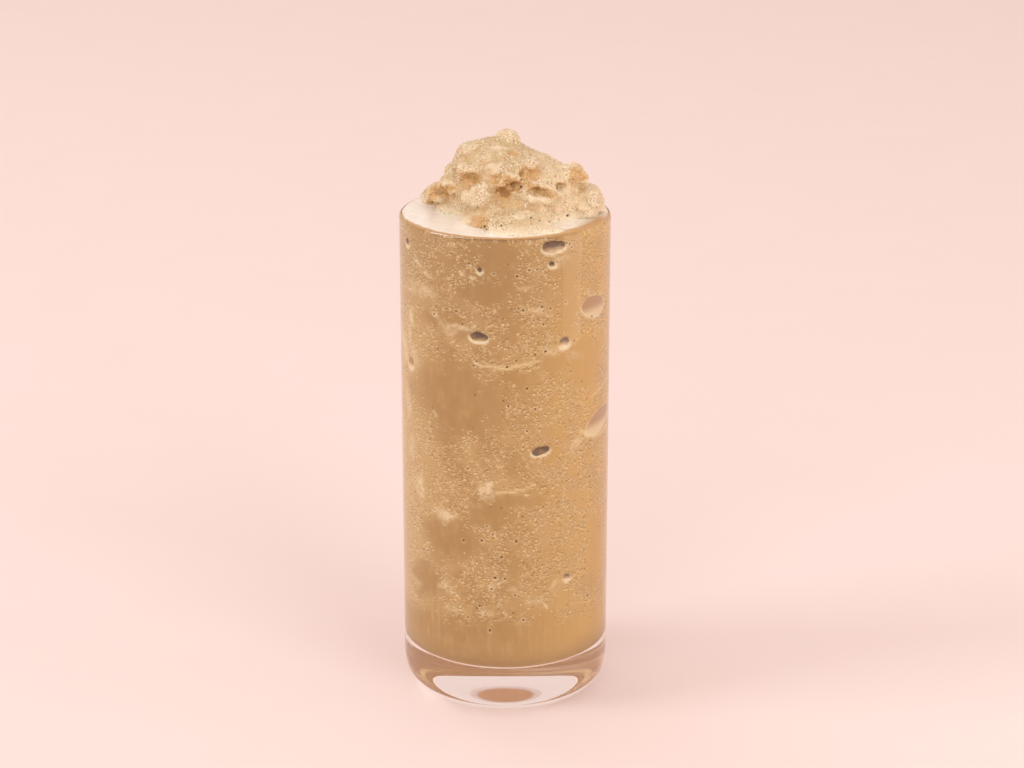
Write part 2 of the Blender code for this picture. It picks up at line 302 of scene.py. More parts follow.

# Colours of the drink's top, then painted light: pale colour on its lower edge and on a ring under it, and a
# painted glow from below on these and on its underside
CLEAR_LIQUID = (0.50, 0.30, 0.125)
CREAM_TOP = ((0.83, 0.80, 0.72), (0.89, 0.87, 0.80))
EDGE_HIGHLIGHT = (0.78, 0.62, 0.50)
RING_PAINTED_LIGHT = (0.72, 0.62, 0.56)
NO_GLOW = (0.0, 0.0, 0.0)
UNDERSIDE_GLOW = (0.150, 0.075, 0.040)
EDGE_GLOW = (0.50, 0.38, 0.34)
RING_GLOW = (0.21, 0.170, 0.165)

# Heights in millimetres between which a change in the drink comes in, and the ring's radii
TOP_SHADE_HEIGHTS = (112.0, 152.0)
STREAK_HEIGHTS = (50.0, 34.0)
FOOT_HEIGHTS = (27.0, 16.0)
CALM_FOOT_HEIGHTS = (36.0, 27.0)
LOW_BACK_HEIGHTS = (58.0, 36.0)
TOP_HEIGHTS = (GLASS_HEIGHT / MM - 0.9, GLASS_HEIGHT / MM - 0.2)
UNDERSIDE_HEIGHTS = (15.2, 14.6)
EDGE_START = (15.15, 15.35)
EDGE_END = (16.1, 15.7)
RING_HEIGHTS = (15.3, 15.0)
RING_RADII = (18.2, 20.4)

# Sizes in millimetres of what shows in the drink, its froth's waves, bubbles and flecks of cream among them
CLOUD_SIZE = 7.0
MOTTLE_SIZE = 2.6
LIVELY_SIZE = 5.0
FROTH_WAVES = 1.6
BUBBLE_SIZE = 1.15
SMALL_BUBBLE_SIZE = 0.75
CREAM_SIZE = 1.3
STREAK_SIZE = 1.4
BLOTCH_SIZE = 1.5
POCKET_GRAIN = 1.8
RIPPLE_SIZE = 3.0

# Crumbs of ice strewn on the heap: how many, their sizes in millimetres, how deep each is sunk and how far it
# is stretched, as shares of its size, and how far over the heap's foot they start
CRUMB_SEED = 7
CRUMB_COUNT = 120
CRUMB_SIZES = (0.4, 1.1)
CRUMB_DEPTHS = (0.25, 0.7)
CRUMB_STRETCH = (0.7, 1.3)
CRUMB_START = 2 * MM

# How finely the crumbs melt into the heap, and how far its top stays under the solid's
MELT_SIZE = 0.30 * MM
TOP_GAP = 0.02 * MM

# The heap's roughness: the size of its swells, lobes, folds and grain, and their relief in millimetres. The
# folds have one for where the heap is calm and one more for where it is rough.
SWELL_SIZE = 4.5 * MM
LOBE_SIZE = 6.0 * MM
FOLD_SIZE = 2.2 * MM
GRAIN_SIZE = 0.9 * MM
SWELL_RELIEF = 0.30
LOBE_RELIEF = 0.8
FOLD_RELIEF = (0.25, 0.60)
GRAIN_RELIEF = 0.13
BROW_RELIEF = 0.40
SOAKED_DEPTH = 0.42
HOLE_DEPTH = 0.5

# How many rounds of smoothing find the hollows of each width, and the share of the widest that is filled up
HOLLOW_ROUNDS = 60
FILL_ROUNDS = 160
WIDE_ROUNDS = 240
FILL_SHARE = 0.12

# Grains of the slush: their sizes in millimetres, where the dark grains and the icy places are drawn, how far
# to the right painted light makes the slush paler, and the heights near the rim between which it is paler too
SLUSH_GRAIN = 0.50
SLUSH_DARK_GRAIN = 0.55
SLUSH_LUMP = 4.0
ICY_SIZE = 5.0
DARK_GRAIN_PLACE = (31.0, 7.0, 13.0)
ICY_PLACE = (5.0, 17.0, 29.0)
PALE_RIGHT = (4.0, 16.0)
PALE_LOW = (GLASS_HEIGHT / MM + 4.5, GLASS_HEIGHT / MM + 1.0)

# Colours of the slush, with a painted highlight for its ridges and the colours of syrup for its stains and
# its painted shade
SLUSH = ((0.51, 0.385, 0.200), (0.63, 0.505, 0.31))
SLUSH_RIDGE_HIGHLIGHT = (0.74, 0.645, 0.45)
SLUSH_LIT_RIGHT = (0.79, 0.655, 0.43)
SLUSH_LOW = (0.86, 0.785, 0.60)
SYRUP_AND_SHADE = ((0.50, 0.300, 0.105), (0.62, 0.405, 0.175))
DEEP_SYRUP_AND_SHADE = (0.31, 0.155, 0.045)
ICE = (0.90, 0.82, 0.64)
SOAKED_ICE = (0.80, 0.56, 0.28)
DARK_GRAIN = (0.36, 0.21, 0.09)
HOLE_SHADE = (0.05, 0.024, 0.010)


class Value:
    """One socket of a finish, so that sums on it read as they do on numbers."""

    def __init__(self, finish, socket):
        self.finish = finish
        self.socket = socket

    def math(self, operation, *terms):
        return self.finish.add("ShaderNodeMath", {"operation": operation}, dict(enumerate(terms)))

    def __add__(self, other):
        return self.math("ADD", self, other)

    def __radd__(self, other):
        return self.math("ADD", other, self)

    def __sub__(self, other):
        return self.math("SUBTRACT", self, other)

    def __rsub__(self, other):
        return self.math("SUBTRACT", other, self)

    def __mul__(self, other):
        return self.math("MULTIPLY", self, other)

    def __rmul__(self, other):
        return self.math("MULTIPLY", other, self)

    def __truediv__(self, other):
        return self.math("DIVIDE", self, other)

    def __abs__(self):
        return self.math("ABSOLUTE", self)

    def most(self, other):
        return self.math("MAXIMUM", self, other)

    def least(self, other):
        return self.math("MINIMUM", self, other)

    def rise(self, low, high, start=0.0, end=1.0):
        """Goes smoothly from start to end while the value goes from low to high."""
        settings = {"interpolation_type": "SMOOTHSTEP"}
        return self.finish.add("ShaderNodeMapRange", settings, {0: self, 1: low, 2: high, 3: start, 4: end})


class Finish:
    """A material in the making, on Blender's Principled shader."""

    def __init__(self, name, **constants):
        self.material = bpy.data.materials.new(name)
        self.material.use_nodes = True
        self.nodes = self.material.node_tree.nodes
        self.links = self.material.node_tree.links
        self.shader = self.nodes["Principled BSDF"]
        for socket, constant in constants.items():
            self.feed(self.shader.inputs[socket.replace("_", " ")], constant)

    def feed(self, socket, value):
        if isinstance(value, Value):
            self.links.new(value.socket, socket)
        elif isinstance(value, tuple) and socket.type == "RGBA":
            socket.default_value = (*value, 1.0)
        else:
            socket.default_value = value

    def add(self, kind, settings=None, values=None, out=0):
        node = self.nodes.new(kind)
        for name, setting in (settings or {}).items():
            setattr(node, name, setting)
        for place, value in (values or {}).items():
            self.feed(node.inputs[place], value)
        return Value(self, node.outputs[out])

    def vector(self, operation, *terms):
        return self.add("ShaderNodeVectorMath", {"operation": operation}, dict(enumerate(terms)))

    def point(self, stretch=(1.0, 1.0, 1.0)):
        """Object coordinates in millimetres, stretched."""
        place = self.add("ShaderNodeTexCoord", out="Object")
        return self.vector("MULTIPLY", place, tuple(share / MM for share in stretch))

    def split(self, vector):
        node = self.nodes.new("ShaderNodeSeparateXYZ")
        self.feed(node.inputs[0], vector)
        return [Value(self, socket) for socket in node.outputs]

    def attribute(self, name):
        return self.add("ShaderNodeAttribute", {"attribute_name": name}, out="Fac")

    def mix(self, share, first, second):
        settings = {"data_type": "RGBA"}
        return self.add("ShaderNodeMix", settings, {0: share, 6: first, 7: second}, out=2)

    def grain(self, point, grain_size, detail=2.0, roughness=0.5):
        """Noise from 0 to 1, its grains about so many millimetres across."""
        values = {"Vector": point, "Scale": 1 / grain_size, "Detail": detail, "Roughness": roughness}
        return self.add("ShaderNodeTexNoise", None, values)

    def drift(self, point, grain_size):
        """A smooth random shift, each way from -0.5 to 0.5."""
        node = self.nodes.new("ShaderNodeTexNoise")
        for socket, value in (("Vector", point), ("Scale", 1 / grain_size), ("Detail", 1.0)):
            self.feed(node.inputs[socket], value)
        return self.vector("SUBTRACT", Value(self, node.outputs["Color"]), (0.5, 0.5, 0.5))

    def surface(self, colour, roughness=None, height=None, height_in_mm=0.1):
        self.feed(self.shader.inputs["Base Color"], colour)
        if roughness is not None:
            self.feed(self.shader.inputs["Roughness"], roughness)
        if height is not None:
            values = {"Height": height, "Distance": height_in_mm * MM, "Strength": 1.0}
            normal = self.add("ShaderNodeBump", None, values)
            self.feed(self.shader.inputs["Normal"], normal)


def lamp_rays_pass(finish):
    """Lets the lamps' light straight through, as clear glass does."""
    output = finish.nodes["Material Output"]
    shadow = finish.add("ShaderNodeLightPath", out="Is Shadow Ray")
    clear = finish.add("ShaderNodeBsdfTransparent")
    body = Value(finish, finish.shader.outputs[0])
    mixed = finish.add("ShaderNodeMixShader", None, {0: shadow, 1: body, 2: clear})
    finish.feed(output.inputs["Surface"], mixed)


def corner(middle, sizes, start, end, steps, squareness=2.0):
    """Points of a round corner in the section plane, between two angles in degrees."""
    points = []
    for step in range(steps + 1):
        angle = math.radians(start + (end - start) * step / steps)
        across = math.copysign(abs(math.cos(angle)) ** (2 / squareness), math.cos(angle))
        up = math.copysign(abs(math.sin(angle)) ** (2 / squareness), math.sin(angle))
        points.append((middle[0] + sizes[0] * across, middle[1] + sizes[1] * up))
    return points


def dome(radius, depth, steps):
    """Points of a shallow round dome, from its edge to the axis."""
    curve = (radius ** 2 + depth ** 2) / (2 * depth)
    points = []
    for step in range(1, steps + 1):
        reach = radius * (1 - step / steps)
        points.append((reach, math.sqrt(curve ** 2 - reach ** 2) - (curve - depth)))
    return points


def spun(name, section, steps):
    """A point drawn out along the section, from the axis back to the axis, and spun round."""
    bpy.ops.object.select_all(action="DESELECT")
    bpy.ops.mesh.primitive_plane_add(size=MM)
    body = bpy.context.object
    body.name = name
    bpy.ops.object.mode_set(mode="EDIT")
    bpy.ops.mesh.select_all(action="SELECT")
    bpy.ops.mesh.merge(type="CENTER")
    bpy.ops.transform.translate(value=(section[0][0], 0.0, section[0][1]))
    for here, there in zip(section, section[1:]):
        step = (there[0] - here[0], 0.0, there[1] - here[1])
        bpy.ops.mesh.extrude_region_move(TRANSFORM_OT_translate={"value": step})
    bpy.ops.mesh.select_all(action="SELECT")
    bpy.ops.mesh.spin(steps=steps, angle=2 * math.pi, center=(0.0, 0.0, 0.0), axis=(0.0, 0.0, 1.0))
    bpy.ops.mesh.select_all(action="SELECT")
    bpy.ops.mesh.remove_doubles(threshold=WELD_DISTANCE)
    bpy.ops.mesh.normals_make_consistent(inside=False)
    bpy.ops.object.mode_set(mode="OBJECT")
    return body


def settle(piece, slot, *nodes):
    """Hands a finished piece to the frame, in place of the nodes that it stands for."""
    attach(piece, "root")
    if nodes:
        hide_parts(*nodes)


def dress(piece, finish):
    piece.data.materials.clear()
    piece.data.materials.append(finish.material)


def glass_finish():
    finish = Finish("clear_pressed_glass", Transmission_Weight=1.0, IOR=1.5, Roughness=0.0)
    ripple = finish.grain(finish.point((1.0, 1.0, 0.35)), 9.0, detail=1.0)
    tint = finish.mix(finish.grain(finish.point(), 30.0), *GLASS_TINTS)
    finish.surface(tint, height=ripple, height_in_mm=0.01)
    lamp_rays_pass(finish)
    return finish


def make_glass():
    section = [(0.0, FLOOR_HEIGHT)]
    inner_middle = (INNER_RADIUS - INNER_CORNER, FLOOR_HEIGHT + INNER_CORNER)
    section += corner(inner_middle, (INNER_CORNER, INNER_CORNER), -90, 0, CORNER_STEPS)
    rim_middle = (GLASS_RADIUS - WALL / 2, GLASS_HEIGHT - WALL / 2)
    section += corner(rim_middle, (WALL / 2, WALL / 2), 180, 0, RIM_STEPS)
    foot_middle = (GLASS_RADIUS - FOOT_ROUNDING[0], FOOT_ROUNDING[1])
    section += corner(foot_middle, FOOT_ROUNDING, 0, -90, FOOT_STEPS, FOOT_SQUARENESS)
    section.append((PUNT_RADIUS, 0.0))
    section += dome(PUNT_RADIUS, PUNT_DEPTH, DOME_STEPS)
    glass = spun("highball_glass", section, GLASS_STEPS)
    glass.data.shade_smooth()
    dress(glass, glass_finish())
    settle(glass, "clear_glass", "glass")
    return glass


def along_wall(turn):
    """The way along the wall from the front to a turn in degrees, in millimetres."""
    return math.radians(turn) * INNER_RADIUS / MM


def tilted(across, rise, tilt):
    """The same offsets, along and across a mark that's tilted by so many degrees."""
    cos, sin = math.cos(math.radians(tilt)), math.sin(math.radians(tilt))
    return across * cos + rise * sin, rise * cos - across * sin


def mark_field(along, up, mark):
    """How far each point lies from a mark's middle: 1 at the mark's edge."""
    turn, height, width, tallness, tilt = mark[:5]
    long_way, short_way = tilted(along - along_wall(turn), up - height / MM, tilt)
    return np.hypot(long_way / (width / 2), short_way / (tallness / 2))


def line_distance(along, up, points):
    """Each point's distance from a line through places on the wall, in millimetres."""
    nearest = np.full(along.shape, 1e3)
    places = [(along_wall(turn), height / MM) for turn, height in points]
    for (x0, y0), (x1, y1) in zip(places, places[1:]):
        length = (x1 - x0) ** 2 + (y1 - y0) ** 2
        share = np.clip(((along - x0) * (x1 - x0) + (up - y0) * (y1 - y0)) / length, 0.0, 1.0)
        reach = np.hypot(along - x0 - share * (x1 - x0), up - y0 - share * (y1 - y0))
        nearest = np.minimum(nearest, reach)
    return nearest


def smooth_rise(values, low, high):
    share = np.clip((values - low) / (high - low), 0.0, 1.0)
    return share * share * (3 - 2 * share)


def wander(points, wave_size, reach):
    """Smooth random shifts, in millimetres, for points given in millimetres."""
    noise.seed_set(DRIFT_SEED)
    shifts = [noise.noise_vector(Vector(point) / wave_size) for point in points]
    return np.array(shifts) * reach


def set_attribute(mesh, name, values):
    layer = mesh.attributes.new(name, "FLOAT", "POINT")
    layer.data.foreach_set("value", values.astype(np.float32))


def vertex_places(mesh):
    places = np.zeros(len(mesh.vertices) * 3, np.float32)
    mesh.vertices.foreach_get("co", places)
    return places.reshape(-1, 3).astype(float)


def move_vertices(mesh, places):
    mesh.vertices.foreach_set("co", places.astype(np.float32).ravel())
    mesh.update()


def drink_finish():
    finish = Finish("wet_coffee_smoothie", Specular_IOR_Level=0.35, Emission_Strength=1.0)
    point = finish.point()
    _, _, height = finish.split(point)
    calm = finish.attribute("calm")
    side = finish.attribute("side")
    waves = (FROTH_WAVES, FROTH_WAVES, FROTH_WAVES)
    bent = finish.vector("MULTIPLY_ADD", finish.drift(point, FROTH_WAVES), waves, point)
    base = drink_body(finish, point, height, calm, side)
    base, bumps = froth(finish, base, point, bent, calm)
    base = low_streaks(finish, base, height)
    base = wall_marks(finish, base, point, bent, side)

    top = height.rise(*TOP_HEIGHTS)
    ripple = finish.grain(point, RIPPLE_SIZE, detail=2.0).rise(0.3, 0.7)
    liquid = finish.mix(finish.attribute("foam"), CLEAR_LIQUID, finish.mix(ripple, *CREAM_TOP))
    base = finish.mix(top, base, liquid)
    base, glow = underside(finish, base, height)
    finish.feed(finish.shader.inputs["Emission Color"], glow)
    finish.surface(base, roughness=top.rise(0.0, 1.0, 0.42, 0.16), height=bumps, height_in_mm=0.03)
    return finish


def drink_body(finish, point, height, calm, side):
    """The blend itself, with its clouds, its calm patches, and painted shade that darkens its upper part away
    from the lit side.
    """
    base = finish.mix(side, BODY, BODY_LIT)
    base = finish.mix(finish.attribute("far_left"), base, BODY_FAR_LEFT)
    cloud = finish.grain(point, CLOUD_SIZE, detail=3.0)
    base = finish.mix(cloud.rise(0.35, 0.72) * 0.9, base, CLOUD)
    base = finish.mix(calm * 0.7, base, finish.mix(side, CALM, CALM_LIT))
    mottle = finish.grain(finish.point((1.0, 1.0, 0.5)), MOTTLE_SIZE, detail=4.0, roughness=0.6)
    base = finish.mix(calm * mottle.rise(0.45, 0.75) * 0.35, base, MOTTLE)
    # Painted shade, darker towards the top
    top_shade = height.rise(*TOP_SHADE_HEIGHTS) * (1 - side)
    return finish.mix(top_shade * 0.5, base, TOP_SHADE)


def froth(finish, base, point, bent, calm):
    """Small bubbles, each with a painted highlight low in it and painted shade over it, flecks of cream
    between the calm patches, and how far they stand out.
    """
    places = finish.grain(point, LIVELY_SIZE, detail=3.0, roughness=0.6)
    lively = (1 - calm) * places.rise(0.32, 0.62)
    dots, shadows = froth_layer(finish, bent, BUBBLE_SIZE, lively)
    small_dots, small_shadows = froth_layer(finish, bent, SMALL_BUBBLE_SIZE, lively)
    flecks = finish.grain(point, CREAM_SIZE, detail=3.0, roughness=0.7).rise(0.50, 0.72)
    cream = flecks * lively.rise(0.1, 0.7)
    # Painted shade over the small bubbles, then their painted highlights and the flecks of cream
    base = finish.mix((shadows * 0.80).most(small_shadows * 0.75), base, FROTH_SHADE)
    lit = dots.most(small_dots * 0.9)
    return finish.mix((lit * 0.65).most(cream * 0.52), base, FROTH_CREAM_AND_HIGHLIGHT), lit - shadows


def froth_layer(finish, point, cell_size, lively):
    """Small bubbles on the wall: a painted highlight low in each, and painted shade over it."""
    cells = finish.nodes.new("ShaderNodeTexVoronoi")
    finish.feed(cells.inputs["Vector"], point)
    finish.feed(cells.inputs["Scale"], 1 / cell_size)
    distance = Value(finish, cells.outputs["Distance"])
    chance, _, size = finish.split(Value(finish, cells.outputs["Color"]))
    middle = Value(finish, cells.outputs["Position"])
    _, _, rise = finish.split(finish.vector("SUBTRACT", point, middle))
    tilt = rise / cell_size
    shown = (lively * 1.2 - chance).rise(-0.05, 0.15)
    dot = (distance - size * 0.12).rise(0.40, 0.14)
    ring = abs(distance - 0.38).rise(0.16, 0.04)
    return dot * tilt.rise(0.26, -0.10) * shown, ring * tilt.rise(-0.02, 0.22) * shown


def low_streaks(finish, base, height):
    """Fine upright streaks low down, and the paler foot of the drink."""
    streaks = finish.grain(finish.point((1.0, 1.0, 0.06)), STREAK_SIZE, detail=2.0)
    low_down = height.rise(*STREAK_HEIGHTS)
    base = finish.mix(low_down * streaks.rise(0.50, 0.75) * 0.28, base, PALE_STREAK)
    base = finish.mix(low_down * streaks.rise(0.45, 0.25) * 0.12, base, DARK_STREAK)
    return finish.mix(height.rise(*FOOT_HEIGHTS) * 0.6, base, DRINK_FOOT)


def wall_marks(finish, base, point, bent, side):
    """Blotches, creases, air pockets with painted shade inside, and a painted pink reflection on the drink's
    lower back.
    """
    ragged = finish.grain(bent, BLOTCH_SIZE, detail=4.0, roughness=0.65).rise(0.26, 0.60)
    blotch = finish.attribute("pale") * ragged
    base = finish.mix(blotch.least(1.0) * 0.75, base, BLOTCH)
    base = finish.mix(finish.attribute("crease") * 0.75, base, CREASE)
    base = finish.mix(finish.attribute("halo") * 0.75, base, POCKET_LIP)
    # Painted shade inside the pockets, darkest at their top
    shade = finish.attribute("pocket_shade")
    dark = finish.mix(finish.grain(point, POCKET_GRAIN, detail=2.0).rise(0.35, 0.65), *POCKET_DARK)
    half_dark = finish.mix(side, POCKET_HALF_DARK, POCKET_HALF_DARK_LIT)
    inside = finish.mix(shade.rise(0.02, 0.42), POCKET_PALE, half_dark)
    inside = finish.mix(shade.rise(0.30, 0.80), inside, dark)
    # Painted reflection: a pink tint on the drink's lower back
    base = finish.mix(finish.attribute("low_back") * 0.75, base, LOW_BACK_REFLECTION)
    return finish.mix(finish.attribute("pocket").rise(-0.10, 0.10), base, inside)


def underside(finish, base, height):
    """Painted light on the drink's underside, its lower edge and the ring between them: a glow and pale
    colour that stand in for the light they would catch from below.
    """
    glow = finish.mix(height.rise(*UNDERSIDE_HEIGHTS), NO_GLOW, UNDERSIDE_GLOW)
    # Painted highlight and glow along the drink's lower edge
    edge = height.rise(*EDGE_START) * height.rise(*EDGE_END)
    glow = finish.mix(edge, glow, EDGE_GLOW)
    base = finish.mix(edge, base, EDGE_HIGHLIGHT)
    flat_point = finish.point((1.0, 1.0, 0.0))
    radius = finish.add("ShaderNodeVectorMath", {"operation": "LENGTH"}, {0: flat_point}, out="Value")
    # Painted light: a pale, glowing ring under the drink
    ring = radius.rise(*RING_RADII) * height.rise(*RING_HEIGHTS)
    return finish.mix(ring, base, RING_PAINTED_LIGHT), finish.mix(ring, glow, RING_GLOW)


def drink_section():
    """The drink's outline, from the middle of its floor to the middle of its top."""
    corner_middle = (INNER_RADIUS - INNER_CORNER, FLOOR_HEIGHT + INNER_CORNER)
    rounding = INNER_CORNER + SINK
    section = [(0.0, FLOOR_HEIGHT - SINK), (DRINK_FLOOR_RING, FLOOR_HEIGHT - SINK)]
    section += corner(corner_middle, (rounding, rounding), -90, 0, CORNER_STEPS)
    start = section[-1][1]
    rings = round((DRINK_WALL_TOP - start) / DRINK_RING_GAP)
    for ring in range(1, rings + 1):
        section.append((DRINK_RADIUS, start + (DRINK_WALL_TOP - start) * ring / rings))
    section += [(DRINK_RADIUS + outset * MM, GLASS_HEIGHT + lift * MM) for outset, lift in BRIM]
    section += [(DRINK_RADIUS - inset * MM, DRINK_LEVEL) for inset in TOP_INSETS]
    section.append((0.0, DRINK_LEVEL))
    return section


def mark_pockets(along, up, drift):
    """How far inside a pocket each point lies, how dark the painted shade is there, its pale lip and its
    dent.
    """
    pocket = np.full(along.shape, -9.0)
    shade = np.zeros(along.shape)
    halo = np.zeros(along.shape)
    dent = np.zeros(along.shape)
    for mark in POCKETS:
        turn, height, width, tallness, tilt, depth, darkness = mark
        field = mark_field(along + drift[:, 0] * POCKET_DRIFT, up + drift[:, 1] * POCKET_DRIFT, mark)
        inside = 1 - field ** 2
        pocket = np.maximum(pocket, inside)
        sunk = np.maximum(0.0, SINK / MM + depth * inside if depth else SHALLOW_DEPTH * inside)
        dent = np.maximum(dent, np.where(inside > -0.6, sunk, 0.0))
        over = (up - height / MM) / tallness
        upper = smooth_rise(over, -0.50, 0.12)
        # Painted shade: dark in the upper part of each pocket, and in its lower part too where it is darkest
        tone = darkness * upper + max(0.0, darkness - DARK_BELOW_FROM) * (1 - upper)
        shade = np.where((inside > -0.3) & (inside >= pocket), tone, shade)
        lip = (turn, height, width + LIP_EXTRA[0], tallness + LIP_EXTRA[1], tilt)
        ring = smooth_rise(mark_field(along, up + LIP_DROP, lip), 1.10, 0.96)
        halo = np.maximum(halo, ring * (0.30 + 0.70 * smooth_rise(over, 0.4, -0.4)))
    for turn, height in PINHOLES:
        reach = np.hypot(along - along_wall(turn), up + PINHOLE_LIP_DROP - height / MM)
        halo = np.maximum(halo, 0.50 * smooth_rise(reach, 0.95, 0.40))
    return pocket, shade, halo, dent


def mark_calm(along, up, drift):
    """Where the drink lies flat on the wall: in the calm patches and low down."""
    calm = smooth_rise(up + drift[:, 2], *CALM_FOOT_HEIGHTS)
    for mark in CALM_PATCHES:
        calm = np.maximum(calm, smooth_rise(mark_field(along, up, mark), 1.45, 0.55))
    return calm


def mark_pale(along, up):
    pale = np.zeros(along.shape)
    for *mark, strength in PALE_BLOTCHES:
        field = mark_field(along, up, mark)
        pale = np.maximum(pale, 1.35 * strength * smooth_rise(field, 1.5, 0.2))
    return pale


def mark_creases(along, up):
    crease = np.zeros(along.shape)
    for points, width in CREASES:
        distance = line_distance(along, up, points)
        crease = np.maximum(crease, smooth_rise(distance, width * 0.75, width * 0.1))
    return crease


def mark_foam(turn, inward_gap, drift, fine_drift):
    """Where the top is cream; the rest, at the rim, is clear liquid."""
    covered = smooth_rise(turn + drift[:, 2] * 4, 40.0, 10.0) + smooth_rise(np.abs(turn), 70.0, 90.0)
    reach_out = 0.7 * smooth_rise(np.abs(turn + 5.0), 50.0, 75.0)
    foam = smooth_rise(inward_gap + reach_out + fine_drift[:, 2] * 0.3, -0.1, 0.7)
    foam *= np.clip(covered, 0.0, 1.0) + smooth_rise(inward_gap + drift[:, 2] * 0.5, 0.8, 4.0)
    return np.clip(foam, 0.0, 1.0)


def make_drink():
    drink = spun("coffee_smoothie", drink_section(), DRINK_STEPS)
    places = vertex_places(drink.data)
    turn = np.degrees(np.arctan2(places[:, 0], -places[:, 1]))
    along = np.arctan2(places[:, 0], -places[:, 1]) * INNER_RADIUS / MM
    up = places[:, 2] / MM
    radius = np.hypot(places[:, 0], places[:, 1])
    drift = wander(places / MM, *WIDE_DRIFT)
    fine_drift = wander(places / MM + FINE_DRIFT_PLACE, *FINE_DRIFT)
    loose_along = along + drift[:, 0] + fine_drift[:, 0]
    loose_up = up + drift[:, 1] + fine_drift[:, 1]

    pocket, shade, halo, dent = mark_pockets(along, up, fine_drift)
    marks = {
        "pocket": pocket,
        "pocket_shade": shade,
        "halo": halo,
        "calm": mark_calm(loose_along, loose_up, drift),
        "pale": mark_pale(loose_along, loose_up),
        "crease": mark_creases(along + fine_drift[:, 0] * 0.5, up + fine_drift[:, 1] * 0.5),
        "foam": mark_foam(turn, (DRINK_RADIUS - radius) / MM, drift, fine_drift),
        "side": smooth_rise(turn, -20.0, 70.0) * smooth_rise(np.abs(turn), 150.0, 100.0),
        "far_left": smooth_rise(turn, -28.0, -62.0) * smooth_rise(turn, -150.0, -110.0),
        # Where the painted pink reflection lies, on the drink's lower back
        "low_back": smooth_rise(np.abs(turn), 85.0, 120.0) * smooth_rise(up, *LOW_BACK_HEIGHTS),
    }
    for name, values in marks.items():
        set_attribute(drink.data, name, values)
    at_wall = radius > DRINK_RADIUS - 0.05 * MM
    inward = np.where(at_wall, dent, 0.0) * MM
    places[:, :2] *= (1 - inward / np.maximum(radius, MM))[:, None]
    move_vertices(drink.data, places)
    drink.data.shade_smooth()
    dress(drink, drink_finish())
    settle(drink, "coffee_smoothie", "smoothie")
    return drink


def slush_finish():
    depth_of_light = 1.5 * MM
    finish = Finish(
        "icy_coffee_slush", Specular_IOR_Level=0.45, Subsurface_Weight=0.25, Subsurface_Scale=depth_of_light
    )
    point = finish.point()
    across, _, height = finish.split(point)
    grains = finish.grain(point, SLUSH_GRAIN, detail=1.0)
    dark_place = finish.vector("ADD", point, DARK_GRAIN_PLACE)
    dark_grains = finish.grain(dark_place, SLUSH_DARK_GRAIN, detail=1.0)
    lumps = finish.grain(point, SLUSH_LUMP, detail=3.0)
    icy = finish.grain(finish.vector("ADD", point, ICY_PLACE), ICY_SIZE, detail=2.0).rise(0.42, 0.60)
    colour = finish.mix(lumps.rise(0.35, 0.7), *SLUSH)
    # Painted highlight on the heap's ridges
    colour = finish.mix(finish.attribute("ridge").rise(0.05, 0.45) * 0.6, colour, SLUSH_RIDGE_HIGHLIGHT)
    # Painted light: the slush is paler on its right, where the light falls
    colour = finish.mix(across.rise(*PALE_RIGHT) * 0.6, colour, SLUSH_LIT_RIGHT)
    low_down = (height + lumps * 2).rise(*PALE_LOW)
    colour = finish.mix(low_down * 0.85, colour, SLUSH_LOW)
    # Painted shade in the heap's hollows, in the colours of syrup, together with the soaked spots' stain
    wide_hollow = finish.attribute("wide_hollow").rise(0.15, 1.1)
    hollow = finish.attribute("hollow").rise(0.02, 0.45).most(wide_hollow)
    stain_and_shade = finish.attribute("stain_and_shade")
    syrup_and_shade = finish.mix(lumps, *SYRUP_AND_SHADE)
    colour = finish.mix((hollow * 0.6).most(stain_and_shade.rise(0.08, 0.70) * 0.9), colour, syrup_and_shade)
    # Deepest in the soaked spots: the coffee stain with painted shade under their brows
    colour = finish.mix(stain_and_shade.rise(0.72, 1.15) * 0.9, colour, DEEP_SYRUP_AND_SHADE)
    grainy = 0.30 + icy * 0.70
    ice = finish.mix(stain_and_shade.rise(0.2, 0.8), ICE, SOAKED_ICE)
    colour = finish.mix(dark_grains.rise(0.52, 0.64) * grainy * 0.75, colour, DARK_GRAIN)
    colour = finish.mix(grains.rise(0.55, 0.65) * grainy * 0.70, colour, ice)
    # Painted shade, near black, in the heap's holes
    colour = finish.mix(finish.attribute("hole"), colour, HOLE_SHADE)
    finish.surface(colour, roughness=0.5, height=(grains - dark_grains * 0.6) * grainy, height_in_mm=0.25)
    return finish


def strew_crumbs(mesh, start_height):
    """Adds crumbs of ice over the surface above a height, each partly sunk into it."""
    shape = bmesh.new()
    shape.from_mesh(mesh)
    bmesh.ops.remove_doubles(shape, verts=shape.verts, dist=WELD_DISTANCE)
    bmesh.ops.recalc_face_normals(shape, faces=shape.faces)
    draw = random.Random(CRUMB_SEED)
    faces = [face for face in shape.faces if face.calc_center_median().z > start_height]
    chosen = draw.choices(faces, [face.calc_area() for face in faces], k=CRUMB_COUNT)
    spots = [(face.calc_center_median(), face.normal.copy()) for face in chosen]
    for place, outward in spots:
        size = draw.uniform(*CRUMB_SIZES) * MM
        middle = place - outward * size * draw.uniform(*CRUMB_DEPTHS)
        stretch = Matrix.Diagonal([size * draw.uniform(*CRUMB_STRETCH) for _ in range(3)]).to_4x4()
        where = Matrix.Translation(middle) @ stretch
        bmesh.ops.create_icosphere(shape, subdivisions=2, radius=1.0, matrix=where)
    shape.to_mesh(mesh)
    shape.free()


def melt_together(heap):
    bpy.ops.object.select_all(action="DESELECT")
    heap.select_set(True)
    bpy.context.view_layer.objects.active = heap
    melt = heap.modifiers.new("melt", "REMESH")
    melt.mode = "VOXEL"
    melt.voxel_size = MELT_SIZE
    soften = heap.modifiers.new("soften", "SMOOTH")
    soften.factor = 0.5
    soften.iterations = 3
    for modifier in ("melt", "soften"):
        bpy.ops.object.modifier_apply(modifier=modifier)


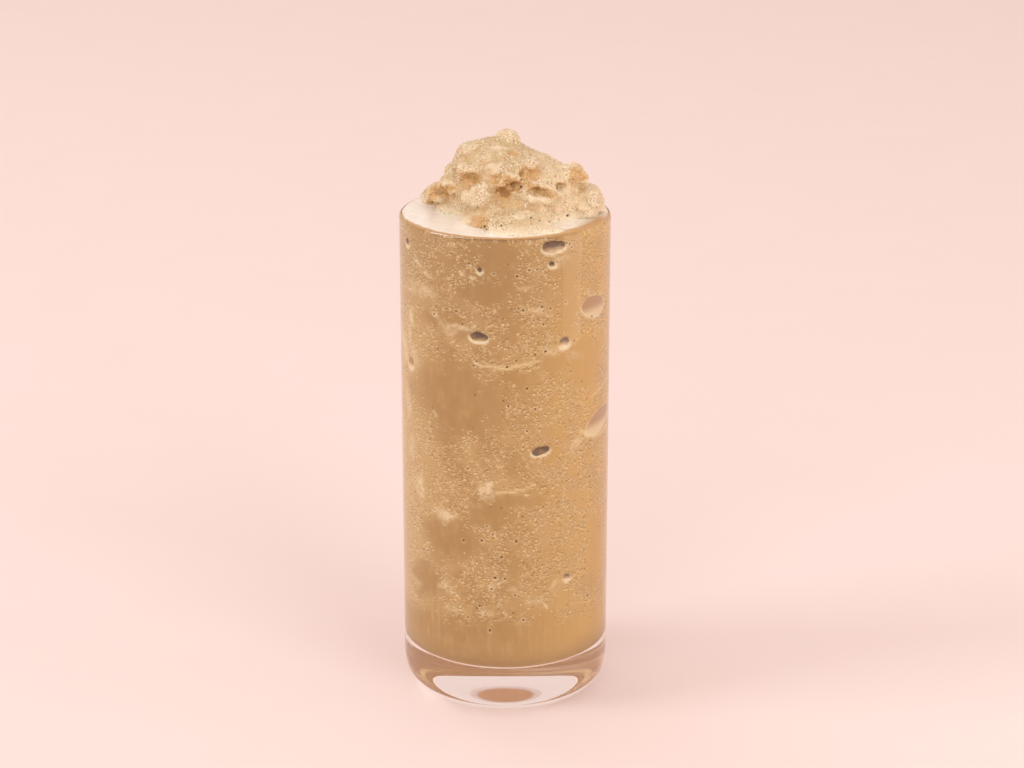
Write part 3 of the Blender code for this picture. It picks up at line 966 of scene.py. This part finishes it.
def mark_holes(across, rise, facing):
    hole = np.zeros(across.shape)
    for spot_across, spot_rise, size in HEAP_HOLES:
        reach = np.hypot(across - spot_across, rise - spot_rise) / (size / 2)
        hole = np.maximum(hole, smooth_rise(reach, 1.25, 0.6) * facing)
    return hole


def mark_soaked(across, rise, ragged, facing):
    """How far each point is soaked, how far its coffee stain and painted shade reach, and the brow of slush
    over each soaked spot.
    """
    soaked = np.zeros(across.shape)
    stain_and_shade = np.zeros(across.shape)
    brow = np.zeros(across.shape)
    for spot_across, spot_rise, width, tallness, tilt, strength in SOAKED_SPOTS:
        along, over = tilted(across - spot_across, rise - spot_rise, tilt)
        sideways = along / (width / 2)
        upward = over / (tallness / 2)
        reach = np.hypot(sideways, np.where(upward > 0, upward, upward * 0.7)) + ragged
        soaked = np.maximum(soaked, strength * smooth_rise(reach, 1.55, 0.45) * facing)
        stain_and_shade = np.maximum(stain_and_shade, strength * smooth_rise(reach, 2.3, 0.4) * facing)
        above = np.hypot(sideways * 0.9, (upward - 1.5) / 0.8)
        brow = np.maximum(brow, strength * smooth_rise(above, 1.4, 0.2) * facing)
    return soaked, stain_and_shade, brow


def make_heap():
    """The heap's own shape, strewn with crumbs of ice, melted together and roughened."""
    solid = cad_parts["slush_mound"]
    heap = bpy.data.objects.new("heap_of_slush", solid.data.copy())
    bpy.context.scene.collection.objects.link(heap)
    low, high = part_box("slush_mound")
    strew_crumbs(heap.data, low.z + CRUMB_START)
    melt_together(heap)

    mesh = heap.data
    normals = vertex_normals(mesh)
    filled = FILL_SHARE * np.maximum(hollowness(mesh, FILL_ROUNDS), 0.0)
    places = vertex_places(mesh) + normals * (filled * MM)[:, None]
    swell = np.array([noise.fractal(Vector(place) / SWELL_SIZE, 0.9, 2.1, 3) for place in places])
    lobes = np.array([abs(noise.noise(Vector(place) / LOBE_SIZE)) for place in places])
    folds = np.array([abs(noise.noise(Vector(place) / FOLD_SIZE)) for place in places])
    fine = np.array([noise.noise(Vector(place) / GRAIN_SIZE) for place in places])
    rough = smooth_rise(swell, -0.05, 0.45)
    lifted = smooth_rise(places[:, 2], GLASS_HEIGHT + 1.0 * MM, GLASS_HEIGHT + 6.0 * MM)
    across, rise = seen_from_front(places)
    facing = normals[:, 1] < 0.3
    hole = mark_holes(across, rise, facing)
    ragged = fine * 0.45 + folds * 1.0 + swell * 0.45
    soaked, stain_and_shade, brow = mark_soaked(across, rise, ragged, facing)
    fold_relief = FOLD_RELIEF[0] + FOLD_RELIEF[1] * rough
    relief = SWELL_RELIEF * swell + LOBE_RELIEF * (lobes - 0.25) + fold_relief * (folds - 0.2)
    relief = (0.35 + 0.65 * lifted) * relief + GRAIN_RELIEF * fine
    relief = relief + BROW_RELIEF * brow - SOAKED_DEPTH * soaked - HOLE_DEPTH * hole
    places += normals * (relief * MM)[:, None]
    places[:, 2] = np.minimum(places[:, 2], high.z - TOP_GAP)
    move_vertices(mesh, places)

    share = 0.3 + 0.7 * lifted
    hollow = hollowness(mesh, HOLLOW_ROUNDS) * share
    marks = {
        "hollow": hollow,
        "wide_hollow": hollowness(mesh, WIDE_ROUNDS) * share,
        "ridge": -hollow,
        "stain_and_shade": stain_and_shade,
        "hole": hole,
    }
    for name, values in marks.items():
        set_attribute(mesh, name, values)
    mesh.shade_smooth()
    dress(heap, slush_finish())
    settle(heap, "coffee_slush", "slush_mound")


def seen_from_front(places):
    """Across and up from the rim's middle in millimetres, as the camera sees them at that distance."""
    offset = places - np.array(CAMERA_PLACE)
    across = offset[:, 0]
    depth = offset[:, 1] * math.cos(CAMERA_DIP) - offset[:, 2] * math.sin(CAMERA_DIP)
    rise = offset[:, 1] * math.sin(CAMERA_DIP) + offset[:, 2] * math.cos(CAMERA_DIP)
    rim = np.array([0.0, 0.0, GLASS_HEIGHT]) - np.array(CAMERA_PLACE)
    rim_depth = rim[1] * math.cos(CAMERA_DIP) - rim[2] * math.sin(CAMERA_DIP)
    rim_rise = rim[1] * math.sin(CAMERA_DIP) + rim[2] * math.cos(CAMERA_DIP)
    share = rim_depth / depth / MM
    return across * share, rise * share - rim_rise / MM


def vertex_normals(mesh):
    normals = np.zeros(len(mesh.vertices) * 3, np.float32)
    mesh.vertices.foreach_get("normal", normals)
    return normals.reshape(-1, 3)


def hollowness(mesh, rounds):
    """How deep each point lies below its smoothed surroundings, in millimetres."""
    places = vertex_places(mesh)
    edges = np.zeros(len(mesh.edges) * 2, np.int32)
    mesh.edges.foreach_get("vertices", edges)
    edges = edges.reshape(-1, 2)
    count = np.bincount(edges.ravel(), minlength=len(places)).astype(float)
    smooth = places.copy()
    for _ in range(rounds):
        total = np.zeros_like(smooth)
        for axis in range(3):
            total[:, axis] = np.bincount(edges[:, 0], smooth[edges[:, 1], axis], len(places))
            total[:, axis] += np.bincount(edges[:, 1], smooth[edges[:, 0], axis], len(places))
        smooth = total / count[:, None]
    return ((smooth - places) * vertex_normals(mesh)).sum(axis=1) / MM


def make_pinholes():
    """Small bubbles that lie on the wall, copied from one, dark with painted shade."""
    bpy.ops.object.select_all(action="DESELECT")
    bpy.ops.mesh.primitive_uv_sphere_add(segments=16, ring_count=8, radius=1.0)
    bubble = bpy.context.object
    model = vertex_places(bubble.data)
    faces = [tuple(face.vertices) for face in bubble.data.polygons]
    bpy.data.objects.remove(bubble)
    draw = random.Random(PINHOLE_SEED)
    spots = [(turn, height, draw.uniform(*PINHOLE_SIZES)) for turn, height in PINHOLES]
    for _ in range(LOOSE_PINHOLES):
        spots.append((draw.uniform(-180, 180), draw.uniform(*LOOSE_HEIGHTS), draw.uniform(*LOOSE_SIZES)))
    all_places = []
    all_faces = []
    for turn, height, size in spots:
        sizes = [size * draw.uniform(0.8, 1.3), PINHOLE_DEPTH, size * draw.uniform(0.8, 1.2)]
        squashed = model * np.array(sizes) * MM
        squashed[:, 1] -= DRINK_RADIUS
        spin = np.array(Matrix.Rotation(math.radians(turn), 3, "Z"))
        shift = len(all_places) * len(model)
        all_places.append(squashed @ spin.T + np.array([0.0, 0.0, height]))
        all_faces += [tuple(corner_index + shift for corner_index in face) for face in faces]
    mesh = bpy.data.meshes.new("pinhole_bubbles")
    mesh.from_pydata(np.concatenate(all_places).tolist(), [], all_faces)
    mesh.shade_smooth()
    bubbles = bpy.data.objects.new("pinhole_bubbles", mesh)
    bpy.context.scene.collection.objects.link(bubbles)
    finish = Finish("shaded_bubble", Specular_IOR_Level=0.3)
    shade = finish.grain(finish.point(), 1.5)
    finish.surface(finish.mix(shade, *PINHOLE_COLOURS), roughness=0.5)
    dress(bubbles, finish)
    settle(bubbles, "coffee_smoothie")


def make_floor():
    bpy.ops.object.select_all(action="DESELECT")
    bpy.ops.mesh.primitive_plane_add(size=FLOOR_SIZE, location=(0.0, 0.0, -FLOOR_DROP))
    floor = bpy.context.object
    floor.name = "pale_floor"
    finish = Finish("pale_floor", Roughness=0.7)
    tone = finish.grain(finish.point(), 40.0)
    finish.surface(finish.mix(tone, FLOOR_COLOUR, FLOOR_SHADE))
    dress(floor, finish)


def make_light():
    world = bpy.data.worlds.new("soft_room")
    bpy.context.scene.world = world
    world.use_nodes = True
    background = world.node_tree.nodes["Background"]
    background.inputs["Color"].default_value = (*ROOM_COLOUR, 1.0)
    background.inputs["Strength"].default_value = ROOM_STRENGTH
    paths = bpy.context.scene.cycles
    paths.max_bounces = LIGHT_BOUNCES
    paths.transmission_bounces = LIGHT_BOUNCES
    paths.glossy_bounces = LIGHT_BOUNCES
    for name, (place, target, size, power, colour) in LAMPS.items():
        make_lamp(name, place, target, size, power, colour)


def make_lamp(name, place, target, size, power, colour):
    light = bpy.data.lights.new(name, "AREA")
    light.shape = "RECTANGLE"
    light.size, light.size_y = size
    light.energy = power
    light.color = colour
    lamp = bpy.data.objects.new(name, light)
    bpy.context.scene.collection.objects.link(lamp)
    lamp.location = place
    lamp.rotation_euler = (Vector(target) - Vector(place)).to_track_quat("-Z", "Y").to_euler()
    return lamp


def light_alone(name, piece, settings):
    """A lamp that lights one piece and isn't seen itself, but for its shine on that piece."""
    lamp = make_lamp(name, *settings)
    lamp.visible_camera = False
    lamp.visible_transmission = False
    lit = bpy.data.collections.new(name)
    lit.objects.link(piece)
    lamp.light_linking.receiver_collection = lit
    return lamp


def make_camera():
    lens = bpy.data.cameras.new("camera")
    lens.lens = CAMERA_LENS
    lens.sensor_width = SENSOR_WIDTH
    lens.clip_start = CAMERA_NEAR
    camera = bpy.data.objects.new("camera", lens)
    bpy.context.scene.collection.objects.link(camera)
    camera.location = CAMERA_PLACE
    camera.rotation_euler = (math.pi / 2 - CAMERA_DIP, 0.0, CAMERA_TURN)
    bpy.context.scene.camera = camera
    bpy.context.scene.view_settings.view_transform = "Standard"


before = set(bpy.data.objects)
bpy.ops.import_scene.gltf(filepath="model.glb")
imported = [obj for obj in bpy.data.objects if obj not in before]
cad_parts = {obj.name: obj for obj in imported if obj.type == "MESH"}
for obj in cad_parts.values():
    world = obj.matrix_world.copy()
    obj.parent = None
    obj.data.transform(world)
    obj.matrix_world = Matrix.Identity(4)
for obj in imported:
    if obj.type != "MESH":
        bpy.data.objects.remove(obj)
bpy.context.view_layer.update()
make_camera()
make_light()
make_floor()
light_alone("rim_lamp", make_glass(), RIM_LAMP)
light_alone("back_lamp", make_drink(), BACK_LAMP).visible_glossy = False
make_pinholes()
make_heap()
